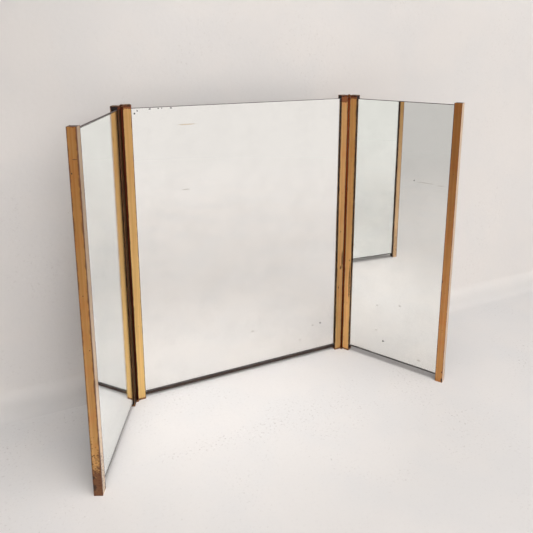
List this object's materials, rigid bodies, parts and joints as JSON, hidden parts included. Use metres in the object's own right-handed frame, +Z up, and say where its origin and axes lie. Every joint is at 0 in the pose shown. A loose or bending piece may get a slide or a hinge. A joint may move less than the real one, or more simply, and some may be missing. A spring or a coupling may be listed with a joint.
{
  "type": "trifold vanity mirror",
  "caption": "Free-standing folding vanity mirror: a middle mirror panel and two narrower wings in upright brass channel rails, turning on hinge rods at the seams.",
  "frame": {"origin": "on the surface it stands on, under the middle of the bounding box at rest", "axes": "+X to the right along the middle panel, +Y backwards, away from the viewer, +Z up"},
  "size_m": [0.4856, 0.1556, 0.4009],
  "materials": {
    "silvered_glass": "flat silvered glass with a faint green tint",
    "rail_brass": "satin lacquered brass with brown age spots",
    "hinge_brass": "darkened satin brass",
    "rivet": "darkened brass",
    "washer": "plain brass",
    "plug": "olive brown oxidised brass",
    "rod": "dark reddish brown lacquered steel",
    "board": "dark brown stained plywood",
    "bedding": "black matt",
    "block": "black matt"
  },
  "bodies": {
    "middle_panel": {"centre_backing": "board", "centre_bedding_left": "bedding", "centre_bedding_right": "bedding", "centre_block_left": "block", "centre_block_right": "block", "centre_cap_left": "hinge_brass", "centre_cap_right": "hinge_brass", "centre_foot_left": "hinge_brass", "centre_foot_right": "hinge_brass", "centre_packer_left": "block", "centre_packer_right": "block", "centre_pane": "silvered_glass", "centre_rail_left": "rail_brass", "centre_rail_right": "rail_brass", "centre_rivets": "rivet", "left_rod": "rod", "left_washer_foot": "washer", "left_washer_top": "washer", "right_rod": "rod", "right_washer_foot": "washer", "right_washer_top": "washer"},
    "left_wing": {"left_backing": "board", "left_bedding_inner": "bedding", "left_bedding_outer": "bedding", "left_block_inner": "block", "left_block_outer": "block", "left_cap": "hinge_brass", "left_foot": "hinge_brass", "left_packer": "block", "left_pane": "silvered_glass", "left_plug": "plug", "left_rail_inner": "rail_brass", "left_rail_outer": "rail_brass", "left_rivets": "rivet"},
    "right_wing": {"right_backing": "board", "right_bedding_inner": "bedding", "right_bedding_outer": "bedding", "right_block_inner": "block", "right_block_outer": "block", "right_cap": "hinge_brass", "right_foot": "hinge_brass", "right_packer": "block", "right_pane": "silvered_glass", "right_plug": "plug", "right_rail_inner": "rail_brass", "right_rail_outer": "rail_brass", "right_rivets": "rivet"}
  },
  "joints": [
    {"name": "left_fold", "type": "hinge", "parent": "middle_panel", "child": "left_wing", "pos_m": [-0.16874, 0.06753, 0], "axis": [0, 0, 1], "range_deg": [-80, 114]},
    {"name": "right_fold", "type": "hinge", "parent": "middle_panel", "child": "right_wing", "pos_m": [0.15206, 0.06753, 0], "axis": [0, 0, -1], "range_deg": [-73, 121]}
  ]
}
